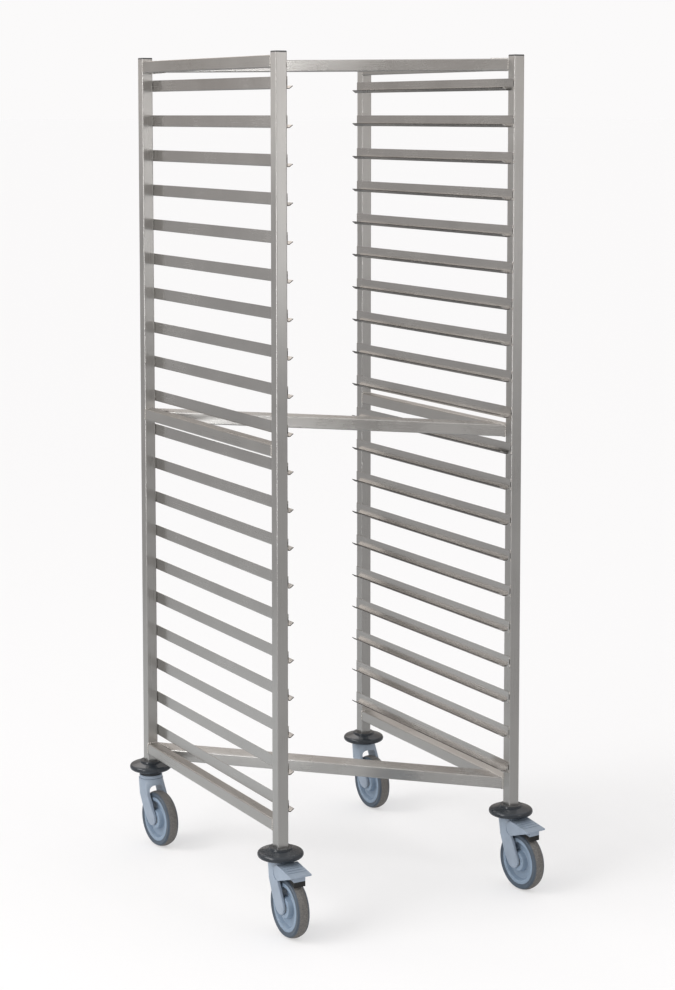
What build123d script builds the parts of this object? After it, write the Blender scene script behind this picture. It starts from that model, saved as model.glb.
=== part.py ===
from build123d import *
import math
import os

# Nesting tray trolley: a welded stainless frame, Z-shaped in plan, with twenty pairs of
# tray slides, on four swivel casters of which the front two have a brake.
# Millimetres, floor at z = 0, origin under the middle of the whole trolley.
# X runs to the right, the loading side faces -Y, Z is up.

# Frame
frame_width = 588.0  # over the outer faces of the side panels
frame_depth = 662.0  # over the outer faces of the uprights
tube_side = 25.0  # square tube of the uprights and side rails
tube_wall = 1.5
tube_corner = 2.5
diagonal_width = 50.0  # flat tube of the three diagonals, as tall as the rails
foot_to_rail = 43.0  # from the foot of an upright to the bottom rail
top_reach = 5.0  # open tube above the top rail
cap_thickness = 3.0
cap_corner_break = 0.8
plug_depth = 14.0
plug_wall = 2.0
plug_clearance = 0.1

# Tray slides
level_count = 20
levels_above_mid_rail = 10
level_pitch = 77.0
sheet = 1.5
web_height = 25.0
shelf_width = 3.0  # flat part between the bend and the lip
lip_length = 9.5
lip_angle = 35.0
bend_radius = 1.2  # inside radius of the folds
rail_to_slide = 16.0  # from the bottom rail up to the lowest slide
slide_to_mid_rail = 11.0  # from the slide below it up to the middle rail
slide_to_top_rail = 17.0
web_setback = 2.0  # web ends this far inside the outer faces of the uprights
lip_setback = 19.0  # at one end the shelf and lip stop this far inside
lip_chamfer = 5.0

# Wheels
wheel_diameter = 125.0
tyre_width = 28.0
tyre_thickness = 13.0
tread_drop = 4.5  # fall from the crown of the tread to its shoulders
tread_shoulder = 2.5
rim_width = 25.0
rim_land = 9.5  # flat ring on each face of the wheel
dish_depth = 8.0
dish_taper = 5.0
hub_radius = 15.0
hub_taper = 2.0
wheel_bearing_radius = 11.0
wheel_bearing_width = 7.0
bearing_step = 2.5  # shoulder behind each wheel bearing
axle_radius = 4.0
axle_head_radius = 5.5
axle_head_height = 2.5
axle_cover = 1.3  # skin of the fork over the blind end of the axle
running_clearance = 0.05
press_clearance = 0.02

# Forks
trail = 40.0  # from the swivel axis back to the axle
leg_gap = 30.0
hub_play = 0.5  # from a hub end to the fork
wheel_headroom = 11.0
slot_side = 36.0  # between the legs just below the crown
slot_round = 12.0
crown_height = 25.0  # from the top of the wheel to the top of the head
crown_depth = 34.0  # from the top of the head down to where the legs are straight
crown_side = 54.0  # over the legs just below the crown
crown_corner = 5.0
crown_lap = 0.3  # moulding line where the crown stands proud of the legs
toe_side = 41.0  # over the legs at the axle
toe_radius = 18.5
toe_lead = 9.5  # centre of the rounded toe, ahead of the axle
toe_rise = 1.5  # and above it
shin_lead = 35.5  # foremost point of the leg beside the wheel, ahead of the axle
shin_rise = 11.5
leg_round = 14.0
leg_edge = 2.8
leg_thickness = 12.0  # before the room for the wheel is cut
head_radius = 27.5
head_height = 5.0  # round part above the crown
head_edge = 0.8
crown_front = 7.0  # reach of the crown ahead of the swivel axis
crown_back = 27.0  # and behind it
braked_head_radius = 26.0
braked_crown_side = 50.0
braked_crown_back = 30.0

# Swivels
swivel_bearing_radius = 18.0
swivel_bearing_height = 8.0
swivel_gap = 0.3
swivel_cap_radius = 26.0
swivel_cap_height = 7.2
swivel_cap_wall = 3.0
swivel_cap_boss = 14.0
swivel_cap_edge = 1.6
neck_seal_radius = 23.5
neck_seal_height = 6.5
stem_radius = 6.0
stem_clearance = 0.3
stem_head_radius = 9.0
stem_head_height = 5.0
stem_edge = 1.0
stem_in_tube = 56.0
expander_length = 34.0
expander_start = 4.0

# Bumper rings
bumper_radius = 47.5
bumper_edge_height = 13.0
bumper_collar_radius = 24.0
bumper_collar_height = 12.0  # above the foot of the upright
bumper_collar_flare = 1.0
bumper_shoulder_radius = 41.0
bumper_shoulder_height = 4.0
bumper_skirt_radius = 28.3
bumper_skirt_wall = 2.0
bumper_skirt_depth = 13.5
bumper_hole_clearance = 0.1
raised_bumper_lift = 13.5  # the rear left ring sits this much higher on its tube

# Brakes
pedal_width = 48.0
pedal_cheek = 2.5
pedal_gap = 0.3
pedal_front = 28.0  # from the swivel axis back to the plate
pedal_reach = 87.0
pedal_plate = 3.2
pedal_rest_gap = 0.6  # plate below the top of the head
pedal_tip_drop = 9.0
pedal_pivot_back = 30.0
pedal_pivot_drop = 17.0  # below the top of the head
pedal_cheek_radius = 15.0
pedal_travel = 5.0  # degrees
pedal_pin_radius = 3.0
pedal_pin_grip = 1.8  # how far a pin reaches into its cheek
pin_start = 0.5  # a pin starts this far outside the room for the wheel
groove_count = 4
groove_pitch = 9.0
groove_start = 43.0
groove_width = 2.4
groove_depth = 1.0
shoe_width = 26.0
shoe_front = 62.5
shoe_back = 81.0
shoe_top_front = 20.3  # top of the shoe at its front end, below the top of the head
shoe_top_back = 23.3  # and at its back end
shoe_clearance = 0.3  # left between shoe and tyre with the pedal fully down

# How far each caster is turned at rest, in degrees, seen from above
caster_turn = {"front_left": 0.5, "front_right": 5.0, "rear_left": 6.0, "rear_right": 1.0}
braked = ("front_left", "front_right")

# Heights worked out from the sizes above
wheel_radius = wheel_diameter / 2
head_top = wheel_diameter + crown_height
slot_top = wheel_diameter + wheel_headroom
ring_top = head_top + swivel_gap + swivel_cap_height
foot = ring_top + neck_seal_height
bottom_rail = foot + foot_to_rail
lowest_slide = bottom_rail + tube_side + rail_to_slide
highest_slide = lowest_slide + (level_count - 1) * level_pitch
slide_above_mid = highest_slide - (levels_above_mid_rail - 1) * level_pitch
mid_rail = slide_above_mid - level_pitch + web_height + slide_to_mid_rail
top_rail = highest_slide + web_height + slide_to_top_rail
tube_top = top_rail + tube_side + top_reach
rail_heights = {"top": top_rail, "mid": mid_rail, "bottom": bottom_rail}

# Plan positions. The front wheels reach further out than the rear bumper rings, so the
# middle of the frame lies behind the middle of the whole trolley.
half_width = frame_width / 2
half_depth = frame_depth / 2
inner_face = half_width - tube_side
rail_end = half_depth - tube_side
upright_x = half_width - tube_side / 2
upright_y = half_depth - tube_side / 2
frame_middle = (trail + wheel_radius - bumper_radius) / 2
corners = {
    "front_left": (-upright_x, frame_middle - upright_y),
    "front_right": (upright_x, frame_middle - upright_y),
    "rear_left": (-upright_x, frame_middle + upright_y),
    "rear_right": (upright_x, frame_middle + upright_y),
}
tube_inside = tube_side - 2 * tube_wall
inside_corner = tube_corner - tube_wall

os.makedirs("parts", exist_ok=True)

# Uprights: square tube, open at the foot for the caster stem
for corner, (x, y) in corners.items():
    with BuildPart() as upright:
        with BuildSketch(Plane((x, y, foot))):
            RectangleRounded(tube_side, tube_side, tube_corner)
            RectangleRounded(tube_inside, tube_inside, inside_corner, mode=Mode.SUBTRACT)
        extrude(amount=tube_top - foot)
    upright.part.label = "upright_" + corner
    export_step(upright.part, "parts/upright_" + corner + ".step")

# Caps: a thin flush plate with a hollow plug that grips inside the tube
plug_side = tube_inside - 2 * plug_clearance
with BuildPart() as upright_caps:
    for x, y in corners.values():
        with BuildSketch(Plane((x, y, tube_top))):
            RectangleRounded(tube_side, tube_side, tube_corner)
        extrude(amount=cap_thickness)
    chamfer(upright_caps.edges().group_by(Axis.Z)[-1], cap_corner_break)
    for x, y in corners.values():
        with BuildSketch(Plane((x, y, tube_top))):
            RectangleRounded(plug_side, plug_side, inside_corner)
            Rectangle(plug_side - 2 * plug_wall, plug_side - 2 * plug_wall, mode=Mode.SUBTRACT)
        extrude(amount=-plug_depth)
upright_caps.part.label = "upright_caps"
export_step(upright_caps.part, "parts/upright_caps.step")

# Side rails: square tube butted between the uprights, flush with their outer faces
for side, x in (("left", -upright_x), ("right", upright_x)):
    for level, height in rail_heights.items():
        with BuildPart() as rail:
            with BuildSketch(Plane.XZ.offset(-frame_middle - rail_end)):
                with Locations((x, height + tube_side / 2)):
                    RectangleRounded(tube_side, tube_side, tube_corner)
                    RectangleRounded(tube_inside, tube_inside, inside_corner, mode=Mode.SUBTRACT)
            extrude(amount=2 * rail_end)
        rail.part.label = side + "_" + level + "_rail"
        export_step(rail.part, "parts/" + side + "_" + level + "_rail.step")

# Diagonals: flat tube from the left rail beside the rear upright to the right rail beside
# the front one. One edge starts at the upright's inner corner at each end, so the angle
# is the one that puts both of these corners on opposite edges of the tube.
corner_reach = math.hypot(2 * inner_face, 2 * rail_end)
diagonal_angle = math.atan2(rail_end, inner_face) - math.asin(diagonal_width / corner_reach)
diagonal_section = Plane(
    origin=(0, frame_middle, 0),
    x_dir=(math.sin(diagonal_angle), math.cos(diagonal_angle), 0),
    z_dir=(math.cos(diagonal_angle), -math.sin(diagonal_angle), 0),
)
for level, height in rail_heights.items():
    with BuildPart() as diagonal:
        with BuildSketch(diagonal_section):
            with Locations((0, height + tube_side / 2)):
                RectangleRounded(diagonal_width, tube_side, tube_corner)
                RectangleRounded(
                    diagonal_width - 2 * tube_wall, tube_inside, inside_corner, mode=Mode.SUBTRACT
                )
        extrude(amount=corner_reach, both=True)
        split(bisect_by=Plane.YZ.offset(inner_face), keep=Keep.BOTTOM)
        split(bisect_by=Plane.YZ.offset(-inner_face), keep=Keep.TOP)
    diagonal.part.label = level + "_diagonal"
    export_step(diagonal.part, "parts/" + level + "_diagonal.step")

# Slides: one folded strip per level and side. The web lies on the inner faces of the
# uprights, a narrow shelf turns inwards below it and ends in a raised lip. At one end the
# shelf and lip stop short, with the lip's corner cut off.
web_end = half_depth - web_setback
short_end = half_depth - lip_setback
web_line = inner_face - sheet / 2
web_face = inner_face - sheet
lip_start = web_face - bend_radius - shelf_width
lip_end = lip_start - lip_length * math.cos(math.radians(lip_angle))
lip_rise = lip_length * math.sin(math.radians(lip_angle))
fold_radius = bend_radius + sheet / 2
with BuildPart() as right_slides:
    for level in range(level_count):
        shelf_line = lowest_slide + level * level_pitch + sheet / 2
        with BuildSketch(Plane.XZ.offset(-frame_middle - web_end)):
            with BuildLine():
                FilletPolyline(
                    (web_line, shelf_line + web_height - sheet / 2),
                    (web_line, shelf_line),
                    (lip_start, shelf_line),
                    (lip_end, shelf_line + lip_rise),
                    radius=fold_radius,
                )
            trace(line_width=sheet)
        extrude(amount=2 * web_end)
    with BuildSketch(Plane((0, frame_middle, lowest_slide))):
        with BuildLine():
            Polyline(
                (web_face, -half_depth),
                (web_face, -short_end),
                (lip_end + lip_chamfer, -short_end),
                (lip_end - sheet, -short_end + lip_chamfer + sheet),
                (lip_end - sheet, -half_depth),
                close=True,
            )
        make_face()
    extrude(amount=top_rail - lowest_slide, mode=Mode.SUBTRACT)
right_slides.part.label = "right_slides"
export_step(right_slides.part, "parts/right_slides.step")

# The left slides are the same strips turned round, so their short ends are at the rear
with BuildPart() as left_slides:
    add(right_slides.part.moved(Location((0, 2 * frame_middle, 0), (0, 0, 180))))
left_slides.part.label = "left_slides"
export_step(left_slides.part, "parts/left_slides.step")

# Bumper rings: soft discs pushed onto the uprights, with a skirt over the swivel cap
skirt_bottom = foot - bumper_skirt_depth
collar_top = foot + bumper_collar_height
shoulder_top = foot + bumper_shoulder_height
edge_bottom = shoulder_top - bumper_edge_height
edge_middle = (shoulder_top + edge_bottom) / 2
hole_side = tube_side + 2 * bumper_hole_clearance
with BuildPart() as bumper:
    with BuildSketch(Plane.XZ):
        with BuildLine():
            Polyline(
                (0, foot),
                (0, collar_top),
                (bumper_collar_radius, collar_top),
                (bumper_collar_radius + bumper_collar_flare, shoulder_top + bumper_shoulder_height),
                (bumper_shoulder_radius, shoulder_top),
            )
            ThreePointArc(
                (bumper_shoulder_radius, shoulder_top),
                (bumper_radius, edge_middle),
                (bumper_shoulder_radius, edge_bottom),
            )
            Polyline(
                (bumper_shoulder_radius, edge_bottom),
                (bumper_skirt_radius, skirt_bottom),
                (bumper_skirt_radius - bumper_skirt_wall, skirt_bottom),
                (bumper_skirt_radius - bumper_skirt_wall, foot),
                (0, foot),
            )
        make_face()
    revolve(axis=Axis.Z)
    with BuildSketch(Plane.XY.offset(foot)):
        RectangleRounded(hole_side, hole_side, tube_corner)
    extrude(amount=bumper_collar_height, mode=Mode.SUBTRACT)
for corner, (x, y) in corners.items():
    lift = raised_bumper_lift if corner == "rear_left" else 0.0
    with BuildPart() as placed_bumper:
        add(bumper.part.moved(Location((x, y, lift))))
    placed_bumper.part.label = "bumper_" + corner
    export_step(placed_bumper.part, "parts/bumper_" + corner + ".step")

# Swivel caps: flat plastic rings over the forks' heads, with a boss up to the uprights
cap_bottom = ring_top - swivel_cap_height
cap_roof = ring_top - swivel_cap_wall
with BuildPart() as swivel_cap:
    with BuildSketch(Plane.XZ):
        with BuildLine():
            Polyline(
                (stem_radius + press_clearance, foot),
                (swivel_cap_boss, foot),
                (swivel_cap_boss, ring_top),
                (swivel_cap_radius, ring_top),
                (swivel_cap_radius, cap_bottom),
                (swivel_cap_radius - swivel_cap_wall, cap_bottom),
                (swivel_cap_radius - swivel_cap_wall, cap_roof),
                (swivel_cap_boss, cap_roof),
                (swivel_cap_boss, cap_bottom),
                (stem_radius + press_clearance, cap_bottom),
                close=True,
            )
        make_face()
    revolve(axis=Axis.Z)
    rounds = swivel_cap.edges().filter_by(GeomType.CIRCLE).group_by(SortBy.RADIUS)[-1]
    fillet(rounds.sort_by(Axis.Z)[-1], swivel_cap_edge)

# Neck seals: dark rings round the bosses, between the swivel caps and the uprights' feet
with BuildPart() as neck_seals:
    for x, y in corners.values():
        with BuildSketch(Plane((x, y, ring_top))):
            Circle(neck_seal_radius)
            Circle(swivel_cap_boss + press_clearance, mode=Mode.SUBTRACT)
        extrude(amount=neck_seal_height)
neck_seals.part.label = "neck_seals"
export_step(neck_seals.part, "parts/neck_seals.step")

# Stems: steel bolts hanging from the uprights, with their heads under the forks' crowns
stem_shoulder = slot_top - swivel_gap
with BuildPart() as stem:
    with BuildSketch(Plane.XY.offset(stem_shoulder)):
        Circle(stem_radius)
    extrude(amount=foot + stem_in_tube - stem_shoulder)
    chamfer(stem.edges().group_by(Axis.Z)[-1], stem_edge)
    with BuildSketch(Plane.XY.offset(stem_shoulder)):
        Circle(stem_head_radius)
    extrude(amount=-stem_head_height)
    chamfer(stem.edges().group_by(Axis.Z)[0], stem_edge)

for corner, (x, y) in corners.items():
    for name, piece in (("swivel_cap_", swivel_cap), ("stem_", stem)):
        with BuildPart() as placed:
            add(piece.part.moved(Location((x, y, 0))))
        placed.part.label = name + corner
        export_step(placed.part, "parts/" + name + corner + ".step")

# Expanders: square sleeves on the stems that grip the inside of the uprights
expander_side = tube_inside - 2 * press_clearance
with BuildPart() as stem_expanders:
    for x, y in corners.values():
        with BuildSketch(Plane((x, y, foot + expander_start))):
            RectangleRounded(expander_side, expander_side, inside_corner)
            Circle(stem_radius + press_clearance, mode=Mode.SUBTRACT)
        extrude(amount=expander_length)
stem_expanders.part.label = "stem_expanders"
export_step(stem_expanders.part, "parts/stem_expanders.step")

# Wheels, forks and brakes are modelled once, with the swivel axis at the origin and the
# axle behind it towards -Y, and then placed under the uprights, each at its own angle.
axle_plane = Plane(origin=(0, -trail, wheel_radius), x_dir=(1, 0, 0), z_dir=(0, -1, 0))
axle_line = Axis((0, -trail, wheel_radius), (1, 0, 0))
side_plane = Plane(origin=(0, 0, 0), x_dir=(0, -1, 0), z_dir=(-1, 0, 0))
axle_point = (trail, wheel_radius)
hub_end = leg_gap / 2 - hub_play
rim_radius = wheel_radius - tyre_thickness
half_rim = rim_width / 2
half_tyre = tyre_width / 2
half_toe = toe_side / 2

# Wheel centre: a moulded disc with a flat land round each face, a dished web and a hub
bearing_seat = wheel_bearing_radius + press_clearance
hub_bore = wheel_bearing_radius - bearing_step
with BuildPart() as wheel_centre:
    with BuildSketch(axle_plane):
        with BuildLine():
            Polyline(
                (0, rim_radius),
                (half_rim, rim_radius),
                (half_rim, rim_radius - rim_land),
                (half_rim - dish_depth, rim_radius - rim_land - dish_taper),
                (half_rim - dish_depth, hub_radius + hub_taper),
                (hub_end, hub_radius),
                (hub_end, bearing_seat),
                (hub_end - wheel_bearing_width, bearing_seat),
                (hub_end - wheel_bearing_width, hub_bore),
                (0, hub_bore),
                close=True,
            )
        make_face()
        mirror(about=Plane.YZ)
    revolve(axis=axle_line)

# Tyre: a crowned rubber ring on the rim
with BuildPart() as tyre:
    with BuildSketch(axle_plane):
        with BuildLine():
            tread = ThreePointArc(
                (-half_tyre, wheel_radius - tread_drop),
                (0, wheel_radius),
                (half_tyre, wheel_radius - tread_drop),
            )
            Polyline(tread @ 1, (half_rim, rim_radius), (-half_rim, rim_radius), tread @ 0)
        make_face()
    revolve(axis=axle_line)
    shoulders = tyre.edges().filter_by(GeomType.CIRCLE).group_by(SortBy.RADIUS)[-1]
    fillet(shoulders, tread_shoulder)

# Wheel bearings: one ball bearing pressed into each end of the hub
bearing_wall = wheel_bearing_radius - axle_radius - running_clearance
bearing_middle = wheel_bearing_radius - bearing_wall / 2
bearing_centre = hub_end - wheel_bearing_width / 2
with BuildPart() as wheel_bearings:
    with BuildSketch(axle_plane):
        with Locations((bearing_centre, bearing_middle), (-bearing_centre, bearing_middle)):
            Rectangle(wheel_bearing_width, bearing_wall)
    revolve(axis=axle_line)

# Axle: a headed pin, blind in the left leg and flush with the right one
axle_tip = axle_cover - half_toe
axle_shoulder = half_toe - axle_head_height
with BuildPart() as axle:
    with BuildSketch(axle_plane):
        with BuildLine():
            Polyline(
                (axle_tip, 0),
                (axle_tip, axle_radius),
                (axle_shoulder, axle_radius),
                (axle_shoulder, axle_head_radius),
                (half_toe, axle_head_radius),
                (half_toe, 0),
                close=True,
            )
        make_face()
    revolve(axis=axle_line)

# Swivel bearing: the ring in the top of a fork that turns on the stem
with BuildPart() as swivel_bearing:
    with BuildSketch(Plane.XY.offset(head_top)):
        Circle(swivel_bearing_radius)
        Circle(stem_radius + running_clearance, mode=Mode.SUBTRACT)
    extrude(amount=-swivel_bearing_height)


def make_fork(top_radius, side, back):
    """A moulded fork: a round head drawn down into a crown with two tapering legs."""
    crown_bottom = head_top - crown_depth
    axle_drop = crown_bottom - wheel_radius
    leg_plane = Plane(
        origin=(-side / 2, 0, crown_bottom),
        x_dir=(0, -1, 0),
        z_dir=(-axle_drop, 0, half_toe - side / 2),
    )
    shin = (trail - shin_lead, shin_rise - axle_drop)
    toe_centre = (trail - toe_lead, toe_rise - axle_drop)
    with BuildPart() as body:
        # Left leg, a thick plate leaning in towards the axle, and its mirror image
        with BuildSketch(leg_plane) as leg_outline:
            with BuildLine():
                Polyline((back, 0), (-crown_front, 0), shin, close=True)
            make_face()
            with Locations(toe_centre):
                Circle(toe_radius)
            make_hull()
            fillet(leg_outline.vertices().sort_by_distance(shin)[0], leg_round)
        extrude(amount=-leg_thickness)
        rim = body.faces().sort_by(Axis.X)[0].edges().sort_by(Axis.Z)[:-1]
        fillet(rim, leg_edge)
        mirror(about=Plane.YZ)
        # Crown, from the legs up to the round head
        with BuildSketch(Plane((0, (crown_front - back) / 2, crown_bottom))):
            RectangleRounded(side + 2 * crown_lap, crown_front + back + 2 * crown_lap, crown_corner)
        with BuildSketch(Plane.XY.offset(head_top - head_height)):
            Circle(top_radius)
        loft()
        with BuildSketch(Plane.XY.offset(head_top)):
            Circle(top_radius)
        extrude(amount=-head_height)
        chamfer(body.edges().group_by(Axis.Z)[-1], head_edge)
        # Room for the wheel, the swivel bearing, the stem and the axle
        with BuildSketch(Plane.XZ) as wheel_slot:
            with BuildLine():
                Polyline(
                    (leg_gap / 2, 0),
                    (leg_gap / 2, wheel_radius),
                    (slot_side / 2, crown_bottom),
                    (slot_side / 2, slot_top),
                    (-slot_side / 2, slot_top),
                    (-slot_side / 2, crown_bottom),
                    (-leg_gap / 2, wheel_radius),
                    (-leg_gap / 2, 0),
                    close=True,
                )
            make_face()
            fillet(wheel_slot.vertices().group_by(Axis.Y)[-1], slot_round)
        extrude(amount=wheel_diameter, both=True, mode=Mode.SUBTRACT)
        with BuildSketch(Plane.XY.offset(head_top)):
            Circle(swivel_bearing_radius + press_clearance)
        extrude(amount=-swivel_bearing_height, mode=Mode.SUBTRACT)
        with BuildSketch(Plane.XY.offset(head_top)):
            Circle(stem_radius + stem_clearance)
        extrude(amount=-crown_depth, mode=Mode.SUBTRACT)
        with BuildSketch(Plane.XY.offset(slot_top)):
            Circle(stem_head_radius + stem_clearance)
        extrude(amount=-slot_round, mode=Mode.SUBTRACT)
        with BuildSketch(side_plane.offset(-axle_tip)):
            with Locations(axle_point):
                Circle(axle_radius + press_clearance)
        extrude(amount=-toe_side, mode=Mode.SUBTRACT)
        with BuildSketch(side_plane.offset(-side / 2)):
            with Locations(axle_point):
                Circle(axle_head_radius + press_clearance)
        extrude(amount=side / 2 - half_toe + axle_head_height, mode=Mode.SUBTRACT)
    return body


fork = make_fork(head_radius, crown_side, crown_back)

# Braked fork: the same with a slimmer head and a seat in each side for the pedal's
# cheek, as deep as the cheek and with room for its travel
pivot = (pedal_pivot_back, head_top - pedal_pivot_drop)
half_pedal = pedal_width / 2
cheek_inside = half_pedal - pedal_cheek
plate_front = (pedal_front, head_top - pedal_rest_gap)
plate_tip = (pedal_reach, head_top - pedal_rest_gap - pedal_tip_drop)
travel = math.radians(pedal_travel)
tip_travel = (pedal_reach - pedal_pivot_back) * math.tan(travel)
lowest_tip = (pedal_reach, plate_tip[1] - pedal_plate - tip_travel)
plain_braked_fork = make_fork(braked_head_radius, braked_crown_side, braked_crown_back)
with BuildPart() as braked_fork:
    add(plain_braked_fork.part)
    for outward in (1, -1):
        with BuildSketch(side_plane.offset(outward * (cheek_inside - pedal_gap))):
            with Locations(pivot):
                Circle(pedal_cheek_radius + pedal_gap)
            with Locations(lowest_tip):
                Circle(pedal_gap)
            make_hull()
        extrude(amount=outward * pedal_width, mode=Mode.SUBTRACT)
    with BuildSketch(side_plane):
        with Locations(pivot):
            Circle(pedal_pin_radius + press_clearance)
    extrude(amount=pedal_width, both=True, mode=Mode.SUBTRACT)

# Brake pedal: a hooded plate with a cheek on each side, a grooved tread and a block
# below its tip that carries the shoe. The shoe's face is the tyre's circle turned back
# by the pedal's travel, so the two are concentric when the pedal is fully down.
plate_slope = math.atan2(pedal_tip_drop, pedal_reach - pedal_front)
ahead = axle_point[0] - pivot[0]
below = axle_point[1] - pivot[1]
shoe_centre = (
    pivot[0] + ahead * math.cos(travel) - below * math.sin(travel),
    pivot[1] + ahead * math.sin(travel) + below * math.cos(travel),
)
shoe_face = wheel_radius + shoe_clearance
shoe_front_top = (shoe_front, head_top - shoe_top_front)
shoe_back_top = (shoe_back, head_top - shoe_top_back)
with BuildPart() as brake_pedal:
    with BuildSketch(side_plane) as hood_outline:
        with BuildLine():
            Polyline(
                plate_front,
                plate_tip,
                (plate_tip[0], plate_tip[1] - pedal_plate),
                (plate_front[0], plate_front[1] - pedal_plate),
                close=True,
            )
        make_face()
        with Locations(pivot):
            Circle(pedal_cheek_radius)
        make_hull()
    extrude(amount=half_pedal, both=True)
    with BuildSketch(side_plane):
        with BuildLine():
            Polyline(
                (plate_tip[0], plate_tip[1] - pedal_plate),
                (plate_front[0], plate_front[1] - pedal_plate),
                (plate_front[0], head_top),
                (0, head_top),
                (0, wheel_radius),
                (plate_tip[0], wheel_radius),
                close=True,
            )
        make_face()
    extrude(amount=cheek_inside, both=True, mode=Mode.SUBTRACT)
    with BuildSketch(side_plane):
        with BuildLine():
            Polyline(
                shoe_front_top,
                (shoe_front, head_top - pedal_tip_drop),
                (shoe_back, plate_tip[1] - pedal_plate / 2),
                shoe_back_top,
                close=True,
            )
        make_face()
    extrude(amount=shoe_width / 2, both=True)
    for groove in range(groove_count):
        along = groove_start + groove * groove_pitch
        drop = (along - pedal_front) * math.tan(plate_slope)
        with BuildSketch(side_plane):
            with Locations((along, plate_front[1] - drop)):
                Rectangle(groove_width, 2 * groove_depth, rotation=-math.degrees(plate_slope))
        extrude(amount=cheek_inside, both=True, mode=Mode.SUBTRACT)
    for outward in (1, -1):
        with BuildSketch(side_plane):
            with Locations(pivot):
                Circle(pedal_pin_radius + running_clearance)
        extrude(amount=outward * (cheek_inside + pedal_pin_grip + pedal_gap), mode=Mode.SUBTRACT)

with BuildPart() as brake_shoe:
    with BuildSketch(side_plane):
        with BuildLine():
            Polyline(
                shoe_front_top,
                shoe_back_top,
                (shoe_back, wheel_radius),
                (shoe_front, wheel_radius),
                close=True,
            )
        make_face()
        with Locations(shoe_centre):
            Circle(shoe_face, mode=Mode.SUBTRACT)
    extrude(amount=shoe_width / 2, both=True)

# Pedal pins: short pins fixed in the fork's sides, blind in the pedal's cheeks
with BuildPart() as pedal_pins:
    for outward in (1, -1):
        with BuildSketch(side_plane.offset(outward * (slot_side / 2 + pin_start))):
            with Locations(pivot):
                Circle(pedal_pin_radius)
        extrude(amount=outward * (cheek_inside + pedal_pin_grip - slot_side / 2 - pin_start))

# Placing the casters
for corner, (x, y) in corners.items():
    pieces = {
        "fork": braked_fork if corner in braked else fork,
        "swivel_bearing": swivel_bearing,
        "axle": axle,
        "wheel_centre": wheel_centre,
        "tyre": tyre,
        "wheel_bearings": wheel_bearings,
    }
    if corner in braked:
        pieces |= {"brake_pedal": brake_pedal, "brake_shoe": brake_shoe, "pedal_pins": pedal_pins}
    place = Location((x, y, 0), (0, 0, caster_turn[corner]))
    for name, piece in pieces.items():
        with BuildPart() as placed_piece:
            add(piece.part.moved(place))
        placed_piece.part.label = name + "_" + corner
        export_step(placed_piece.part, "parts/" + name + "_" + corner + ".step")
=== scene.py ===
import math

import bpy
from mathutils import Matrix, Vector


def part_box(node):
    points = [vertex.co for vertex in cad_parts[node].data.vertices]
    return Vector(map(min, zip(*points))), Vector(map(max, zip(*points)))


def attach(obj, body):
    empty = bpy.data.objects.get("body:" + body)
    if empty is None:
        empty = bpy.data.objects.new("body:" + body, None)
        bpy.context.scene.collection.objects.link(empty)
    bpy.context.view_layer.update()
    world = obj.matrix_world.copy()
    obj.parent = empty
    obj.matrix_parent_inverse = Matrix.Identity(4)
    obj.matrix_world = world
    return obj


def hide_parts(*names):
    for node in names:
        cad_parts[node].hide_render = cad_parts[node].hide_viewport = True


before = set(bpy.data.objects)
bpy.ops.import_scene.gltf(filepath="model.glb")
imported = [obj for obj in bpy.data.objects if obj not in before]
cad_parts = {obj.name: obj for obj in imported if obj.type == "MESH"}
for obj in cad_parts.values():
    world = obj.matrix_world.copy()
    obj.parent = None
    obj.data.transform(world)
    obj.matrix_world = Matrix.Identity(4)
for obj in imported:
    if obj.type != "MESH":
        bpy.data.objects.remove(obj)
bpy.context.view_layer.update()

bpy.ops.object.select_all(action="DESELECT")


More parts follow.
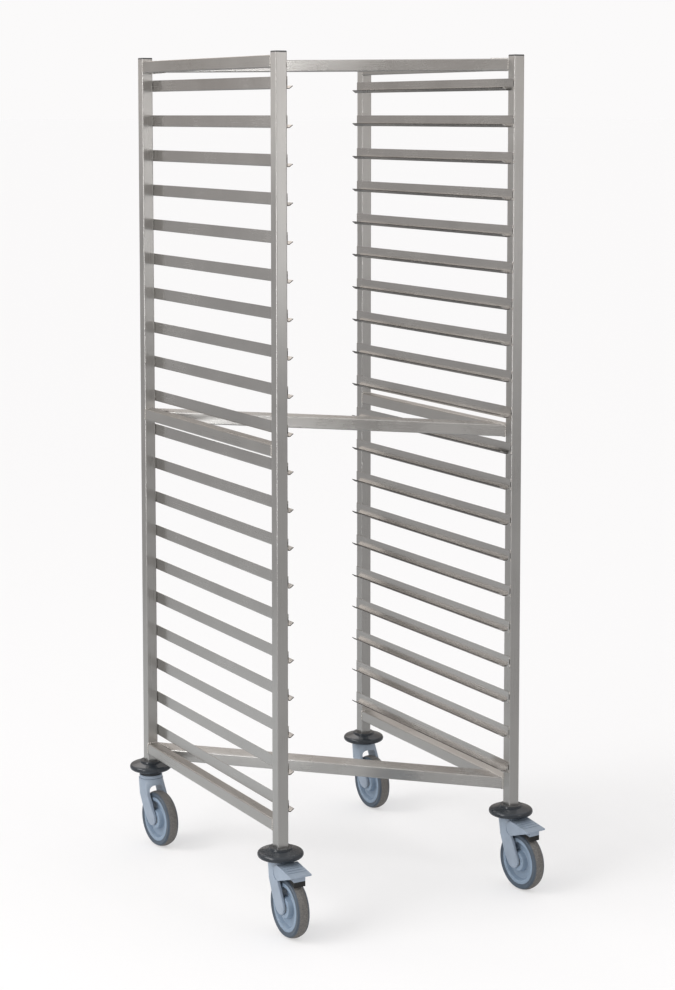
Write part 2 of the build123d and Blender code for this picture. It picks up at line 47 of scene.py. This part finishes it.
# Welded frame. Four uprights and six side rails of square stainless tube and three
# diagonals of flat tube. They are ground to a satin grain that runs along each tube, and
# carry faint clouds and streaks from wiping.
def ground_steel(name, grain_turn, across, tone, shine, streak=0.5, scratch=0.14):
    """Satin stainless, its grain along X before grain_turn, its gloss drawn out across it."""
    steel = bpy.data.materials.new(name)
    steel.use_nodes = True
    nodes, links = steel.node_tree.nodes, steel.node_tree.links
    surface = nodes["Principled BSDF"]
    surface.inputs["Metallic"].default_value = 1.0
    surface.inputs["Anisotropic"].default_value = 0.75
    place = nodes.new("ShaderNodeTexCoord")
    turn = nodes.new("ShaderNodeMapping")
    turn.vector_type = "TEXTURE"
    turn.inputs["Rotation"].default_value = grain_turn
    links.new(place.outputs["Object"], turn.inputs["Vector"])
    stretch = nodes.new("ShaderNodeMapping")
    stretch.inputs["Scale"].default_value = (7.0, 900.0, 900.0)
    links.new(turn.outputs["Vector"], stretch.inputs["Vector"])
    grain = nodes.new("ShaderNodeTexNoise")
    grain.inputs["Scale"].default_value = 1.0
    grain.inputs["Detail"].default_value = 6.0
    grain.inputs["Roughness"].default_value = 0.7
    links.new(stretch.outputs["Vector"], grain.inputs["Vector"])
    clouds = nodes.new("ShaderNodeTexNoise")
    clouds.inputs["Scale"].default_value = 6.0
    clouds.inputs["Detail"].default_value = 3.0
    clouds.inputs["Roughness"].default_value = 0.55
    clouds.inputs["Distortion"].default_value = 0.4
    links.new(turn.outputs["Vector"], clouds.inputs["Vector"])
    both = nodes.new("ShaderNodeMix")
    both.data_type = "FLOAT"
    both.inputs["Factor"].default_value = streak
    links.new(clouds.outputs["Fac"], both.inputs["A"])
    links.new(grain.outputs["Fac"], both.inputs["B"])
    tint = nodes.new("ShaderNodeValToRGB")
    tint.color_ramp.elements[0].position = 0.3
    tint.color_ramp.elements[0].color = (tone[0] * 0.9, tone[1] * 0.895, tone[2] * 0.89, 1)
    tint.color_ramp.elements[1].position = 0.7
    tint.color_ramp.elements[1].color = (tone[0] * 1.08, tone[1] * 1.08, tone[2] * 1.08, 1)
    links.new(both.outputs["Result"], tint.inputs["Fac"])
    links.new(tint.outputs["Color"], surface.inputs["Base Color"])
    rub = nodes.new("ShaderNodeMapRange")
    rub.inputs["From Min"].default_value = 0.3
    rub.inputs["From Max"].default_value = 0.7
    rub.inputs["To Min"].default_value = shine * 0.8
    rub.inputs["To Max"].default_value = shine * 1.25
    links.new(both.outputs["Result"], rub.inputs["Value"])
    links.new(rub.outputs["Result"], surface.inputs["Roughness"])
    scratches = nodes.new("ShaderNodeBump")
    scratches.inputs["Strength"].default_value = scratch
    scratches.inputs["Distance"].default_value = 0.00002
    links.new(grain.outputs["Fac"], scratches.inputs["Height"])
    links.new(scratches.outputs["Normal"], surface.inputs["Normal"])
    pull = nodes.new("ShaderNodeCombineXYZ")
    for socket, value in zip(pull.inputs, across):
        socket.default_value = value
    links.new(pull.outputs["Vector"], surface.inputs["Tangent"])
    return steel


def finish_nodes(start, material):
    """Gives one finish to every piece whose name starts in this way."""
    for name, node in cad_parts.items():
        if name.startswith(start):
            for slot in node.material_slots:
                slot.material = material


stainless = (0.555, 0.547, 0.533)
frame_middle = (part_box("upright_front_left")[0].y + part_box("upright_rear_left")[1].y) / 2
inner_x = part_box("left_mid_rail")[1].x
rail_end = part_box("left_mid_rail")[1].y
corner_reach = 2 * math.hypot(inner_x, rail_end - frame_middle)
diagonal_width = 0.050
lean = math.atan2(rail_end - frame_middle, -inner_x) - math.asin(diagonal_width / corner_reach)
quarter_turn = math.radians(90)
upright_steel = ground_steel(
    "upright_steel", (0, quarter_turn, 0), across=(1, 1, 0), tone=stainless, shine=0.3
)
rail_steel = ground_steel(
    "rail_steel", (0, 0, quarter_turn), across=(1, 0, 1), tone=stainless, shine=0.3
)
diagonal_steel = ground_steel(
    "diagonal_steel",
    (0, 0, -lean),
    across=(math.sin(lean), math.cos(lean), 1),
    tone=stainless,
    shine=0.27,
    streak=0.3,
    scratch=0.07,
)
for corner in ("front_left", "front_right", "rear_left", "rear_right"):
    finish_nodes("upright_" + corner, upright_steel)
for level in ("top", "mid", "bottom"):
    for side in ("left", "right"):
        finish_nodes(side + "_" + level + "_rail", rail_steel)
    finish_nodes(level + "_diagonal", diagonal_steel)


# Weld beads on the frame. Each joint has short rows of ripples of bright weld metal along
# its seams, laid by hand with a filler rod, so that each row wanders a little sideways.
def lay_row(name, ripples, pitch, half_width, height):
    """A row of weld ripples along Y on the XY plane, its middle at the origin."""
    length_to_width = 1.25
    sunk_share = 0.3
    wander = half_width * 0.06
    bpy.ops.mesh.primitive_uv_sphere_add(segments=8, ring_count=6, radius=half_width)
    row = bpy.context.object
    row.name = name
    bpy.ops.object.mode_set(mode="EDIT")
    bpy.ops.mesh.select_all(action="SELECT")
    bpy.ops.transform.resize(value=(1.0, length_to_width, height / half_width))
    bpy.ops.mesh.bisect(
        plane_co=(0, 0, -height * sunk_share), plane_no=(0, 0, 1), clear_inner=True, use_fill=True
    )
    bpy.ops.mesh.select_all(action="SELECT")
    bpy.ops.transform.translate(value=(0, -(ripples - 1) / 2 * pitch, 0))
    bpy.ops.object.mode_set(mode="OBJECT")
    repeat = row.modifiers.new("ripples", "ARRAY")
    repeat.count = ripples
    repeat.use_relative_offset = False
    repeat.use_constant_offset = True
    repeat.constant_offset_displace = (wander, pitch, 0)
    bpy.ops.object.modifier_apply(modifier=repeat.name)
    bpy.ops.object.shade_smooth_by_angle(angle=math.radians(50))
    row.select_set(False)
    return row


def copy_row(row, place, along, outward):
    """One more row of weld ripples, with its own mesh, laid at a seam."""
    along, outward = Vector(along).normalized(), Vector(outward).normalized()
    laid = row.copy()
    laid.data = row.data.copy()
    bpy.context.collection.objects.link(laid)
    turn = Matrix((along.cross(outward), along, outward)).transposed().to_4x4()
    laid.data.transform(Matrix.Translation(Vector(place)) @ turn)
    return laid


def join_rows(rows, name, material):
    """Makes one piece of the laid rows, welded to the frame."""
    bpy.ops.object.select_all(action="DESELECT")
    for laid in rows:
        laid.select_set(True)
    bpy.context.view_layer.objects.active = rows[0]
    bpy.ops.object.join()
    beads = bpy.context.object
    beads.name = name
    beads.data.materials.clear()
    beads.data.materials.append(material)
    beads.select_set(False)
    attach(beads, "frame")


weld_metal = ground_steel(
    "weld_metal", (0, 0, 0), across=(1, 1, 1), tone=(0.62, 0.60, 0.57), shine=0.26, streak=0.3
)
bead_half_width = 0.0021
bead_height = 0.0012
short_row = lay_row("short_row", 5, pitch=0.0046, half_width=bead_half_width, height=bead_height)
long_row = lay_row("long_row", 14, pitch=0.0047, half_width=bead_half_width, height=bead_height)
short_rows = []
for side in ("left", "right"):
    for level in ("top", "mid", "bottom"):
        low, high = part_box(side + "_" + level + "_rail")
        middle = (low + high) / 2
        for end, inward in ((low.y, 1), (high.y, -1)):
            for place, along, outward in (
                ((low.x, end, middle.z), (0, 0, inward), (-1, 0, 0)),
                ((high.x, end, middle.z), (0, 0, -inward), (1, 0, 0)),
                ((middle.x, end, high.z), (1, 0, 0), (0, inward, 1)),
                ((middle.x, end, low.z), (1, 0, 0), (0, inward, -1)),
            ):
                short_rows.append(copy_row(short_row, place, along, outward))
join_rows(short_rows, "rail_welds", weld_metal)

seam_length = diagonal_width / math.cos(lean)
long_rows = []
for level in ("top", "mid", "bottom"):
    low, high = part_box(level + "_diagonal")
    middle = (low + high) / 2
    for end in (1, -1):
        seam_x = end * inner_x
        outer_y = frame_middle + end * (rail_end - frame_middle)
        for up, edge in ((1, high.z), (-1, low.z)):
            seam = (seam_x, outer_y - end * seam_length / 2, edge)
            long_rows.append(copy_row(long_row, seam, (0, 1, 0), (end, 0, up)))
        outer_way = (end * (1 + math.sin(lean)), end * math.cos(lean), 0)
        long_rows.append(copy_row(short_row, (seam_x, outer_y, middle.z), (0, 0, 1), outer_way))
        inner_edge = (seam_x, outer_y - end * seam_length, middle.z)
        inner_way = (end * (1 - math.sin(lean)), -end * math.cos(lean), 0)
        long_rows.append(copy_row(short_row, inner_edge, (0, 0, 1), inner_way))
join_rows(long_rows, "diagonal_welds", weld_metal)
bpy.data.objects.remove(short_row)
bpy.data.objects.remove(long_row)


# Tray slides. Forty strips folded from thin stainless sheet with a smoother finish than the
# tubes. Their sheared ends and the top edges of their lips are painted nearly black, a
# painted shade line along those edges. Their webs lie on the inner faces of the uprights,
# tacked at top and bottom of each end with two small ripples.
lip_angle = math.radians(35)
slide_steel = ground_steel(
    "slide_steel",
    (0, 0, quarter_turn),
    across=(1, 0, 1),
    tone=(0.56, 0.552, 0.54),
    shine=0.24,
    streak=0.35,
    scratch=0.1,
)
# Cut ends and lip edges are painted nearly black: painted shade along these edges.
nodes, links = slide_steel.node_tree.nodes, slide_steel.node_tree.links
surface = nodes["Principled BSDF"]
place = nodes.new("ShaderNodeTexCoord")
split = nodes.new("ShaderNodeSeparateXYZ")
links.new(place.outputs["Normal"], split.inputs["Vector"])
endways = nodes.new("ShaderNodeMath")
endways.operation = "ABSOLUTE"
links.new(split.outputs["Y"], endways.inputs[0])
cut_end = nodes.new("ShaderNodeMath")
cut_end.operation = "GREATER_THAN"
cut_end.inputs[1].default_value = 0.9
links.new(endways.outputs[0], cut_end.inputs[0])
lip_edge = nodes.new("ShaderNodeMath")
lip_edge.operation = "COMPARE"
lip_edge.inputs[1].default_value = math.sin(lip_angle)
lip_edge.inputs[2].default_value = 0.03
links.new(split.outputs["Z"], lip_edge.inputs[0])
painted_shade_edges = nodes.new("ShaderNodeMath")
painted_shade_edges.operation = "MAXIMUM"
links.new(cut_end.outputs[0], painted_shade_edges.inputs[0])
links.new(lip_edge.outputs[0], painted_shade_edges.inputs[1])
painted_shade_line = nodes.new("ShaderNodeMix")
painted_shade_line.data_type = "RGBA"
painted_shade_line.inputs["B"].default_value = (0.05, 0.045, 0.04, 1)
links.new(painted_shade_edges.outputs[0], painted_shade_line.inputs["Factor"])
links.new(surface.inputs["Base Color"].links[0].from_socket, painted_shade_line.inputs["A"])
links.new(painted_shade_line.outputs["Result"], surface.inputs["Base Color"])
finish_nodes("left_slides", slide_steel)
finish_nodes("right_slides", slide_steel)
levels = 20
tack = lay_row("tack", 2, pitch=0.0032, half_width=0.0017, height=0.0010)
slide_low, slide_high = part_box("right_slides")
web_height = 0.025
pitch = (slide_high.z - slide_low.z - web_height) / (levels - 1)
tack_heights = (0.004, web_height - 0.003)
tacks = []
for side in (1, -1):
    for level in range(levels):
        for end, edge in ((-1, slide_low.y), (1, slide_high.y)):
            for height in tack_heights:
                spot = (-side * inner_x, edge, slide_low.z + level * pitch + height)
                tacks.append(copy_row(tack, spot, (0, 0, 1), (-side, end, 0)))
join_rows(tacks, "slide_tacks", weld_metal)
bpy.data.objects.remove(tack)


# End caps. Dark grey polyethylene plates pressed into the open tops of the uprights, with
# a faint moulded grain.
def moulded(name, tone, shine, grain_size, grain_depth, mottle=0.08):
    """Moulded plastic or rubber: a fine skin texture, faint mottling and uneven gloss."""
    plastic = bpy.data.materials.new(name)
    plastic.use_nodes = True
    nodes, links = plastic.node_tree.nodes, plastic.node_tree.links
    surface = nodes["Principled BSDF"]
    place = nodes.new("ShaderNodeTexCoord")
    clouds = nodes.new("ShaderNodeTexNoise")
    clouds.inputs["Scale"].default_value = 35.0
    clouds.inputs["Detail"].default_value = 4.0
    links.new(place.outputs["Object"], clouds.inputs["Vector"])
    tint = nodes.new("ShaderNodeValToRGB")
    tint.color_ramp.elements[0].position = 0.3
    tint.color_ramp.elements[0].color = tuple(c * (1 - mottle) for c in tone) + (1,)
    tint.color_ramp.elements[1].position = 0.7
    tint.color_ramp.elements[1].color = tuple(c * (1 + mottle) for c in tone) + (1,)
    links.new(clouds.outputs["Fac"], tint.inputs["Fac"])
    links.new(tint.outputs["Color"], surface.inputs["Base Color"])
    rub = nodes.new("ShaderNodeMapRange")
    rub.inputs["From Min"].default_value = 0.3
    rub.inputs["From Max"].default_value = 0.7
    rub.inputs["To Min"].default_value = shine * 0.82
    rub.inputs["To Max"].default_value = shine * 1.2
    links.new(clouds.outputs["Fac"], rub.inputs["Value"])
    links.new(rub.outputs["Result"], surface.inputs["Roughness"])
    skin = nodes.new("ShaderNodeTexNoise")
    skin.inputs["Scale"].default_value = grain_size
    skin.inputs["Detail"].default_value = 3.0
    links.new(place.outputs["Object"], skin.inputs["Vector"])
    relief = nodes.new("ShaderNodeBump")
    relief.inputs["Strength"].default_value = 0.4
    relief.inputs["Distance"].default_value = grain_depth
    links.new(skin.outputs["Fac"], relief.inputs["Height"])
    links.new(relief.outputs["Normal"], surface.inputs["Normal"])
    return plastic


cap_plastic = moulded(
    "cap_plastic", (0.07, 0.07, 0.072), shine=0.45, grain_size=900.0, grain_depth=0.00008
)
finish_nodes("upright_caps", cap_plastic)


# Bumper rings. Soft grey-black rubber with a slight blue cast and a wiped gloss, pushed up
# round the feet of the uprights. The neck seals below them are the same rubber, duller and
# nearly black, their dark tone partly the rubber's and partly painted shade under the bumpers.
bumper_rubber = moulded(
    "bumper_rubber",
    (0.027, 0.032, 0.039),
    shine=0.21,
    grain_size=500.0,
    grain_depth=0.00003,
    mottle=0.1,
)
finish_nodes("bumper", bumper_rubber)
# The seals' near-black tone is partly painted shade under the bumpers.
seal_rubber_painted_shade = moulded(
    "seal_rubber_painted_shade",
    (0.022, 0.026, 0.032),
    shine=0.5,
    grain_size=700.0,
    grain_depth=0.0001,
    mottle=0.2,
)
finish_nodes("neck_seals", seal_rubber_painted_shade)


# Casters. Blue-grey moulded nylon forks, swivel caps and brake pedals with a satin skin.
housing = moulded(
    "housing_nylon", (0.272, 0.323, 0.392), shine=0.36, grain_size=700.0, grain_depth=0.0001
)
for start in ("fork", "swivel_cap", "brake_pedal"):
    finish_nodes(start, housing)


# Wheel centres. The same kind of nylon, moulded a little glossier: a flat land round each
# face, a deep dish with a thin web at its bottom, and a hub round the wheel bearings.
rim_radius = 0.0495
rim_width = 0.025
land_width = 0.0078
dish_depth = 0.0090
web_width = 0.0127
hub_height = 0.0108
hub_width = 0.0094
rim_nylon = moulded(
    "rim_nylon", (0.213, 0.275, 0.355), shine=0.22, grain_size=600.0, grain_depth=0.00004
)
caster_turn = {"front_left": 0.5, "front_right": 5.0, "rear_left": 6.0, "rear_right": 1.0}
bpy.ops.mesh.primitive_cylinder_add(vertices=96, radius=rim_radius, depth=rim_width)
centre_shape = bpy.context.object
bpy.ops.object.mode_set(mode="EDIT")
bpy.ops.mesh.select_mode(type="FACE")
bpy.ops.mesh.select_all(action="DESELECT")
bpy.ops.object.mode_set(mode="OBJECT")
for face in centre_shape.data.polygons:
    face.select = abs(face.normal.z) > 0.9
bpy.ops.object.mode_set(mode="EDIT")
bpy.ops.mesh.inset(thickness=land_width, depth=0)
bpy.ops.mesh.inset(thickness=0.0030, depth=-dish_depth)
bpy.ops.mesh.inset(thickness=0.0020, depth=-0.0010)
bpy.ops.mesh.inset(thickness=web_width, depth=0)
bpy.ops.mesh.inset(thickness=0.0015, depth=0.0010)
bpy.ops.mesh.inset(thickness=0.0020, depth=hub_height)
bpy.ops.mesh.inset(thickness=hub_width, depth=0)
bpy.ops.mesh.delete(type="FACE")
bpy.ops.mesh.select_all(action="DESELECT")
bpy.ops.mesh.select_mode(type="EDGE")
bpy.ops.mesh.select_non_manifold()
bpy.ops.mesh.bridge_edge_loops()
bpy.ops.mesh.select_all(action="SELECT")
bpy.ops.mesh.normals_make_consistent(inside=False)
bpy.ops.transform.rotate(value=math.radians(90), orient_axis="Y", center_override=(0, 0, 0))
bpy.ops.object.mode_set(mode="OBJECT")
soften = centre_shape.modifiers.new("soften", "BEVEL")
soften.width = 0.0007
soften.segments = 2
soften.limit_method = "ANGLE"
soften.angle_limit = math.radians(35)
bpy.ops.object.modifier_apply(modifier=soften.name)
bpy.ops.object.shade_smooth_by_angle(angle=math.radians(40))
centre_shape.data.materials.clear()
centre_shape.data.materials.append(rim_nylon)
for corner, turn in caster_turn.items():
    low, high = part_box("tyre_" + corner)
    centre = centre_shape.copy()
    centre.data = centre_shape.data.copy()
    centre.name = "rim_" + corner
    bpy.context.collection.objects.link(centre)
    turned = Matrix.Translation((low + high) / 2) @ Matrix.Rotation(math.radians(turn), 4, "Z")
    centre.data.transform(turned)
    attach(centre, "wheel_" + corner)
    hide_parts("wheel_centre_" + corner)
bpy.data.objects.remove(centre_shape)


# Tyres and brake shoes. Elastic rubber, slate blue on the sides and worn to a dusty,
# finely mottled grey-brown where it meets the floor. The shoes are plain black rubber.
def tyre_rubber(corner):
    """Rubber of one wheel, whose worn band follows the middle of its own tread."""
    worn_half_width = 0.0085
    worn_fade = 0.0027
    rubber = moulded(
        "tyre_rubber_" + corner,
        (0.062, 0.083, 0.110),
        shine=0.4,
        grain_size=800.0,
        grain_depth=0.0001,
        mottle=0.15,
    )
    nodes, links = rubber.node_tree.nodes, rubber.node_tree.links
    surface = nodes["Principled BSDF"]
    low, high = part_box("tyre_" + corner)
    hub = (low + high) / 2
    place = nodes.new("ShaderNodeTexCoord")
    centred = nodes.new("ShaderNodeMapping")
    centred.vector_type = "TEXTURE"
    centred.inputs["Location"].default_value = hub
    centred.inputs["Rotation"].default_value = (0, 0, math.radians(caster_turn[corner]))
    links.new(place.outputs["Object"], centred.inputs["Vector"])
    split = nodes.new("ShaderNodeSeparateXYZ")
    links.new(centred.outputs["Vector"], split.inputs["Vector"])
    across = nodes.new("ShaderNodeMath")
    across.operation = "ABSOLUTE"
    links.new(split.outputs["X"], across.inputs[0])
    band = nodes.new("ShaderNodeMapRange")
    band.inputs["From Min"].default_value = worn_half_width
    band.inputs["From Max"].default_value = worn_half_width + worn_fade
    band.inputs["To Min"].default_value = 1.0
    band.inputs["To Max"].default_value = 0.0
    links.new(across.outputs[0], band.inputs["Value"])
    mottles = nodes.new("ShaderNodeTexNoise")
    mottles.inputs["Scale"].default_value = 520.0
    mottles.inputs["Detail"].default_value = 3.0
    links.new(place.outputs["Object"], mottles.inputs["Vector"])
    worn = nodes.new("ShaderNodeValToRGB")
    worn.color_ramp.elements[0].position = 0.38
    worn.color_ramp.elements[0].color = (0.088, 0.086, 0.084, 1)
    worn.color_ramp.elements[1].position = 0.62
    worn.color_ramp.elements[1].color = (0.172, 0.160, 0.148, 1)
    links.new(mottles.outputs["Fac"], worn.inputs["Fac"])
    blend = nodes.new("ShaderNodeMix")
    blend.data_type = "RGBA"
    links.new(band.outputs["Result"], blend.inputs["Factor"])
    links.new(surface.inputs["Base Color"].links[0].from_socket, blend.inputs["A"])
    links.new(worn.outputs["Color"], blend.inputs["B"])
    links.new(blend.outputs["Result"], surface.inputs["Base Color"])
    return rubber


for corner in caster_turn:
    finish_nodes("tyre_" + corner, tyre_rubber(corner))
shoe_rubber = moulded(
    "shoe_rubber", (0.012, 0.012, 0.012), shine=0.6, grain_size=800.0, grain_depth=0.0002
)
finish_nodes("brake_shoe", shoe_rubber)


# Axles, stems, pins and bearings. Zinc-plated steel, mostly hidden inside the casters.
zinc = ground_steel(
    "zinc_plate", (0, 0, 0), across=(1, 1, 1), tone=(0.56, 0.56, 0.57), shine=0.35
)
for start in ("axle", "stem", "swivel_bearing", "wheel_bearings", "pedal_pins"):
    finish_nodes(start, zinc)


# Floor. A very wide sheet of white paper under the trolley, with pale shadows. As steel
# sees it, its colour carries a painted pool of light at the left behind the trolley, painted
# shade further away and a painted dark patch in the right back corner.
bpy.ops.mesh.primitive_plane_add(size=1600.0, location=(0, 0, 0))
floor = bpy.context.object
floor.name = "floor"
paper = bpy.data.materials.new("floor_paper")
paper.use_nodes = True
nodes, links = paper.node_tree.nodes, paper.node_tree.links
surface = nodes["Principled BSDF"]
surface.inputs["Roughness"].default_value = 1.0
surface.inputs["Specular IOR Level"].default_value = 0.0
place = nodes.new("ShaderNodeTexCoord")
# Painted light and shade, seen only in the steel's reflections of the floor.
painted_light_spot = nodes.new("ShaderNodeVectorMath")
painted_light_spot.operation = "DISTANCE"
painted_light_spot.inputs[1].default_value = (-0.9, 0.8, 0)
links.new(place.outputs["Object"], painted_light_spot.inputs[0])
far = nodes.new("ShaderNodeMapRange")
far.interpolation_type = "SMOOTHSTEP"
far.inputs["From Min"].default_value = 0.2
far.inputs["From Max"].default_value = 2.6
links.new(painted_light_spot.outputs["Value"], far.inputs["Value"])
painted_shade_spot = nodes.new("ShaderNodeVectorMath")
painted_shade_spot.operation = "DISTANCE"
painted_shade_spot.inputs[1].default_value = (1.1, 2.2, 0)
links.new(place.outputs["Object"], painted_shade_spot.inputs[0])
painted_shade_corner = nodes.new("ShaderNodeMapRange")
painted_shade_corner.interpolation_type = "SMOOTHSTEP"
painted_shade_corner.inputs["From Min"].default_value = 1.0
painted_shade_corner.inputs["From Max"].default_value = 1.9
painted_shade_corner.inputs["To Min"].default_value = 0.35
painted_shade_corner.inputs["To Max"].default_value = 1.0
links.new(painted_shade_spot.outputs["Value"], painted_shade_corner.inputs["Value"])
steel_view = nodes.new("ShaderNodeMix")
steel_view.data_type = "RGBA"
steel_view.inputs["A"].default_value = (0.65, 0.66, 0.665, 1)
steel_view.inputs["B"].default_value = (0.44, 0.434, 0.432, 1)
links.new(far.outputs["Result"], steel_view.inputs["Factor"])
dimmed = nodes.new("ShaderNodeMix")
dimmed.data_type = "RGBA"
dimmed.blend_type = "MULTIPLY"
dimmed.inputs["Factor"].default_value = 1.0
links.new(steel_view.outputs["Result"], dimmed.inputs["A"])
links.new(painted_shade_corner.outputs["Result"], dimmed.inputs["B"])
rays = nodes.new("ShaderNodeLightPath")
shade = nodes.new("ShaderNodeMix")
shade.data_type = "RGBA"
shade.inputs["A"].default_value = (0.975, 0.965, 0.965, 1)
links.new(rays.outputs["Is Glossy Ray"], shade.inputs["Factor"])
links.new(dimmed.outputs["Result"], shade.inputs["B"])
links.new(shade.outputs["Result"], surface.inputs["Base Color"])
glow = nodes.new("ShaderNodeEmission")
glow.inputs["Color"].default_value = (0.965, 0.955, 0.955, 1)
share = nodes.new("ShaderNodeMath")
share.operation = "MULTIPLY"
share.inputs[1].default_value = 0.5
links.new(rays.outputs["Is Camera Ray"], share.inputs[0])
paler = nodes.new("ShaderNodeMixShader")
links.new(share.outputs[0], paler.inputs["Fac"])
links.new(surface.outputs["BSDF"], paler.inputs[1])
links.new(glow.outputs["Emission"], paler.inputs[2])
links.new(paler.outputs["Shader"], nodes["Material Output"].inputs["Surface"])
floor.data.materials.append(paper)


# Studio. The background is white all round. Steel sees dimmer walls, a white ceiling and
# a bright soft box high behind the trolley, as between the lamps of a real studio.
room = bpy.data.worlds.new("studio")
bpy.context.scene.world = room
room.use_nodes = True
nodes, links = room.node_tree.nodes, room.node_tree.links
nodes.clear()
out = nodes.new("ShaderNodeOutputWorld")
lit = nodes.new("ShaderNodeBackground")
lit.inputs["Color"].default_value = (1, 1, 1, 1)
lit.inputs["Strength"].default_value = 0.76
seen = nodes.new("ShaderNodeBackground")
way = nodes.new("ShaderNodeTexCoord")
split = nodes.new("ShaderNodeSeparateXYZ")
links.new(way.outputs["Generated"], split.inputs["Vector"])
overhead = nodes.new("ShaderNodeMapRange")
overhead.interpolation_type = "SMOOTHSTEP"
overhead.inputs["From Min"].default_value = 0.42
overhead.inputs["From Max"].default_value = 0.85
links.new(split.outputs["Z"], overhead.inputs["Value"])
rays = nodes.new("ShaderNodeLightPath")
white = nodes.new("ShaderNodeMath")
white.operation = "MAXIMUM"
links.new(overhead.outputs["Result"], white.inputs[0])
links.new(rays.outputs["Is Camera Ray"], white.inputs[1])
wall = nodes.new("ShaderNodeMix")
wall.data_type = "RGBA"
wall.inputs["A"].default_value = (0.475, 0.435, 0.405, 1)
wall.inputs["B"].default_value = (0.965, 0.955, 0.955, 1)
links.new(white.outputs[0], wall.inputs["Factor"])
links.new(wall.outputs["Result"], seen.inputs["Color"])
toward_top_box = nodes.new("ShaderNodeVectorMath")
toward_top_box.operation = "DOT_PRODUCT"
toward_top_box.inputs[1].default_value = (0.10, 0.80, 0.59)
links.new(way.outputs["Generated"], toward_top_box.inputs[0])
top_box = nodes.new("ShaderNodeMapRange")
top_box.interpolation_type = "SMOOTHSTEP"
top_box.inputs["From Min"].default_value = 0.95
top_box.inputs["From Max"].default_value = 0.985
top_box.inputs["To Min"].default_value = 1.0
top_box.inputs["To Max"].default_value = 3.2
links.new(toward_top_box.outputs["Value"], top_box.inputs["Value"])
box_in_steel = nodes.new("ShaderNodeMix")
box_in_steel.data_type = "FLOAT"
box_in_steel.inputs["A"].default_value = 1.0
links.new(rays.outputs["Is Glossy Ray"], box_in_steel.inputs["Factor"])
links.new(top_box.outputs["Result"], box_in_steel.inputs["B"])
links.new(box_in_steel.outputs["Result"], seen.inputs["Strength"])
either = nodes.new("ShaderNodeMath")
either.operation = "MAXIMUM"
links.new(rays.outputs["Is Camera Ray"], either.inputs[0])
links.new(rays.outputs["Is Glossy Ray"], either.inputs[1])
any_ray = nodes.new("ShaderNodeMath")
any_ray.operation = "MAXIMUM"
links.new(either.outputs[0], any_ray.inputs[0])
links.new(rays.outputs["Is Transmission Ray"], any_ray.inputs[1])
blend = nodes.new("ShaderNodeMixShader")
links.new(any_ray.outputs[0], blend.inputs["Fac"])
links.new(lit.outputs[0], blend.inputs[1])
links.new(seen.outputs[0], blend.inputs[2])
links.new(blend.outputs[0], out.inputs["Surface"])


# Lamps. A very soft key light from the left, a tall soft box on the left nearer the camera
# that draws the bright lines along the corners of the tubes, and dimmer ones in front and
# at the left behind the trolley.
bpy.ops.object.light_add(type="SUN", location=(-4, 1, 3))
key = bpy.context.object
key.name = "key_light"
key.data.energy = 1.05
key.data.angle = math.radians(30)
key.rotation_euler = Vector((-0.97, 0.20, 0.85)).to_track_quat("Z", "Y").to_euler()


def soft_box(name, place, aim, width, height, watts):
    """A rectangular soft box, upright, pointed at a place on the trolley."""
    bpy.ops.object.light_add(type="AREA", location=place)
    lamp = bpy.context.object
    lamp.name = name
    lamp.data.shape = "RECTANGLE"
    lamp.data.size = width
    lamp.data.size_y = height
    lamp.data.energy = watts
    lamp.visible_camera = False
    lamp.rotation_euler = (Vector(place) - Vector(aim)).to_track_quat("Z", "Y").to_euler()


soft_box(
    "left_box", (-3.3, frame_middle - 1.1, 1.35), (0, 0, 1.35), width=0.9, height=2.3, watts=30
)
soft_box(
    "front_box", (1.03, frame_middle - 3.1, 1.65), (0, 0, 1.65), width=0.6, height=1.4, watts=5.0
)
soft_box(
    "back_box", (-2.35, frame_middle + 2.5, 2.0), (0, 0, 2.0), width=0.6, height=1.1, watts=3.2
)


# Camera, a little below the height of the trolley's top, looking slightly down. Its angle,
# place and lens show the trolley as it stands in a picture of 675 by 990 pixels. The focal
# length is in those pixels.
focal_length = 2172.12
picture_height = 990
bpy.ops.object.camera_add(
    location=(-2.2881, frame_middle - 4.1313, 1.6592),
    rotation=(math.radians(90 - 5.3008), 0, math.radians(-29.3013)),
)
camera = bpy.context.object
camera.data.sensor_fit = "AUTO"
camera.data.sensor_width = 36.0
camera.data.lens = focal_length / picture_height * camera.data.sensor_width
camera.data.shift_y = -0.18
camera.data.clip_end = 2000.0
bpy.context.scene.camera = camera
bpy.context.scene.view_settings.view_transform = "Standard"
